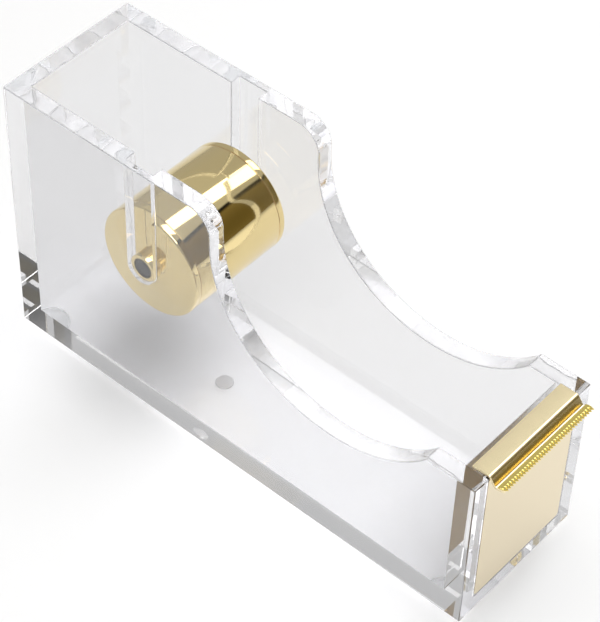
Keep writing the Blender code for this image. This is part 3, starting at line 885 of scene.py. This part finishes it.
class DISPENSER_OT_gold_front(bpy.types.Operator):
    """Build the mirror plate, the bent tape rest and the toothed blade"""
    bl_idname = "dispenser.gold_front"
    bl_label = "Gold Front"

    def execute(self, context):
        size = context.scene.dispenser_cutter
        finish = context.scene.dispenser_finish
        # metal film under clear sheet: a clean mirror, with long waves in the sheet
        mirror = gold("gold mirror sheet", finish.mirror, roughness=0.02, grain_size=0.02,
                      grain_height=0.000004, haze=0.01)
        # sprayed on the sheet's back: dark brown, half glossy
        lacquer = moulded("mirror backing lacquer", finish.edge, roughness=0.3, grain_size=0.0005,
                          grain_height=0.000002)
        plate = build_mirror_plate(size, mirror, lacquer)
        # rolled strip, then plated: soft reflections
        rest = build_tape_rest(size)
        rest.data.materials.append(gold("gold plated spring steel", finish.steel, roughness=0.24,
                                        grain_size=0.002, grain_height=0.0000005, haze=0.04))
        # ground steel, then plated: each tooth's facet flashes
        blade = build_blade(size, gold("gold plated blade steel", finish.blade, roughness=0.07,
                                       grain_size=0.001, grain_height=0.0000008, haze=0.03))
        for piece, node, slot in ((plate, "front_plate", "gold_mirror"), (rest, "tape_rest", "gold_steel"),
                                  (blade, "cutter_blade", "gold_steel")):
            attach(piece, "body")
            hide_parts(node)
        return {"FINISHED"}


class DISPENSER_OT_films(bpy.types.Operator):
    """Build the plate's film and finish the rest's tape"""
    bl_idname = "dispenser.films"
    bl_label = "Adhesive Films"

    def execute(self, context):
        finish = context.scene.dispenser_finish
        # closed cell foam: off white, without shine
        foam = moulded("acrylic foam tape", finish.foam, roughness=0.45, grain_size=0.0006,
                       grain_height=0.00002)
        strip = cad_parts["rest_adhesive"]
        strip.data.materials.clear()
        strip.data.materials.append(foam)
        low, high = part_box("plate_adhesive")
        pressed = panel_high.x - CONTACT
        outline = [(pressed, low.z), (high.x, low.z), (high.x, high.z), (pressed, high.z)]
        film = add_solid("plate_film_painted_reflection", outline, low.y, high.y)
        # painted reflection: the film pressed flat into the sheet is coloured a warm gold brown, standing
        # in for the gold plate seen through the clear panel
        film.data.materials.append(moulded("film with painted gold reflection", finish.backing,
                                           roughness=0.3, grain_size=0.003, grain_height=0.00002))
        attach(film, "body")
        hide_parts("plate_adhesive")
        return {"FINISHED"}


class DISPENSER_OT_bumpers(bpy.types.Operator):
    """Build the four clear bumpers under the base"""
    bl_idname = "dispenser.bumpers"
    bl_label = "Bumpers"

    def execute(self, context):
        # cast in a dome: clear and glossy, a little softer than the sheet
        rubber = moulded("clear polyurethane", context.scene.dispenser_finish.bumper, roughness=0.12,
                         grain_size=0.001, grain_height=0.000004, transmission=1.0)
        for name in ("front_left", "front_right", "rear_left", "rear_right"):
            low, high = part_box("foot_" + name)
            place = Matrix.Translation(((low.x + high.x) / 2, (low.y + high.y) / 2, low.z))
            profile = bumper_profile((high.x - low.x) / 2, high.z - low.z)
            bumper = add_turned("bumper_" + name, profile, place, steps=64)
            bumper.data.materials.append(rubber)
            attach(bumper, "body")
            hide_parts("foot_" + name)
        return {"FINISHED"}


class DISPENSER_OT_studio(bpy.types.Operator):
    """Set the floor, the lights and the camera"""
    bl_idname = "dispenser.studio"
    bl_label = "Studio"

    def execute(self, context):
        scene = context.scene
        add_floor()
        for lamp in LAMPS:
            add_lamp(*lamp)
        scene.world = room()
        scene.view_settings.view_transform = "Standard"
        # total reflection leads light along the sheet, so it needs many turns
        for kind in ("max", "glossy", "transmission", "transparent_max"):
            setattr(scene.cycles, kind + "_bounces", LIGHT_TURNS)
        scene.cycles.caustics_reflective = False
        scene.camera = add_camera()
        return {"FINISHED"}


class DISPENSER_PT_panel(bpy.types.Panel):
    """Lists the dispenser's pieces"""
    bl_label = "Tape Dispenser"
    bl_space_type = "VIEW_3D"
    bl_region_type = "UI"
    bl_category = "Dispenser"

    def draw(self, context):
        for operator in OPERATORS:
            self.layout.operator(operator.bl_idname)
        for name in SETTINGS:
            settings = getattr(context.scene, name)
            box = self.layout.box()
            for key in settings.__annotations__:
                box.prop(settings, key)


SETTINGS = {"dispenser_body": BodySettings, "dispenser_roller": RollerSettings,
            "dispenser_cutter": CutterSettings, "dispenser_finish": FinishSettings}
OPERATORS = (DISPENSER_OT_clear_body, DISPENSER_OT_roller, DISPENSER_OT_rod, DISPENSER_OT_gold_front,
             DISPENSER_OT_films, DISPENSER_OT_bumpers, DISPENSER_OT_studio)
CLASSES = (*SETTINGS.values(), *OPERATORS, DISPENSER_PT_panel)


def register():
    """Make the classes and their settings known to Blender."""
    for item in CLASSES:
        bpy.utils.register_class(item)
    for name, group in SETTINGS.items():
        setattr(bpy.types.Scene, name, PointerProperty(type=group))


def unregister():
    """Take them out again."""
    for name in SETTINGS:
        delattr(bpy.types.Scene, name)
    for item in reversed(CLASSES):
        bpy.utils.unregister_class(item)


def main():
    """Build every piece and the studio."""
    register()
    bpy.ops.dispenser.clear_body()
    bpy.ops.dispenser.roller()
    bpy.ops.dispenser.rod()
    bpy.ops.dispenser.gold_front()
    bpy.ops.dispenser.films()
    bpy.ops.dispenser.bumpers()
    bpy.ops.dispenser.studio()


if __name__ == "__main__":
    main()
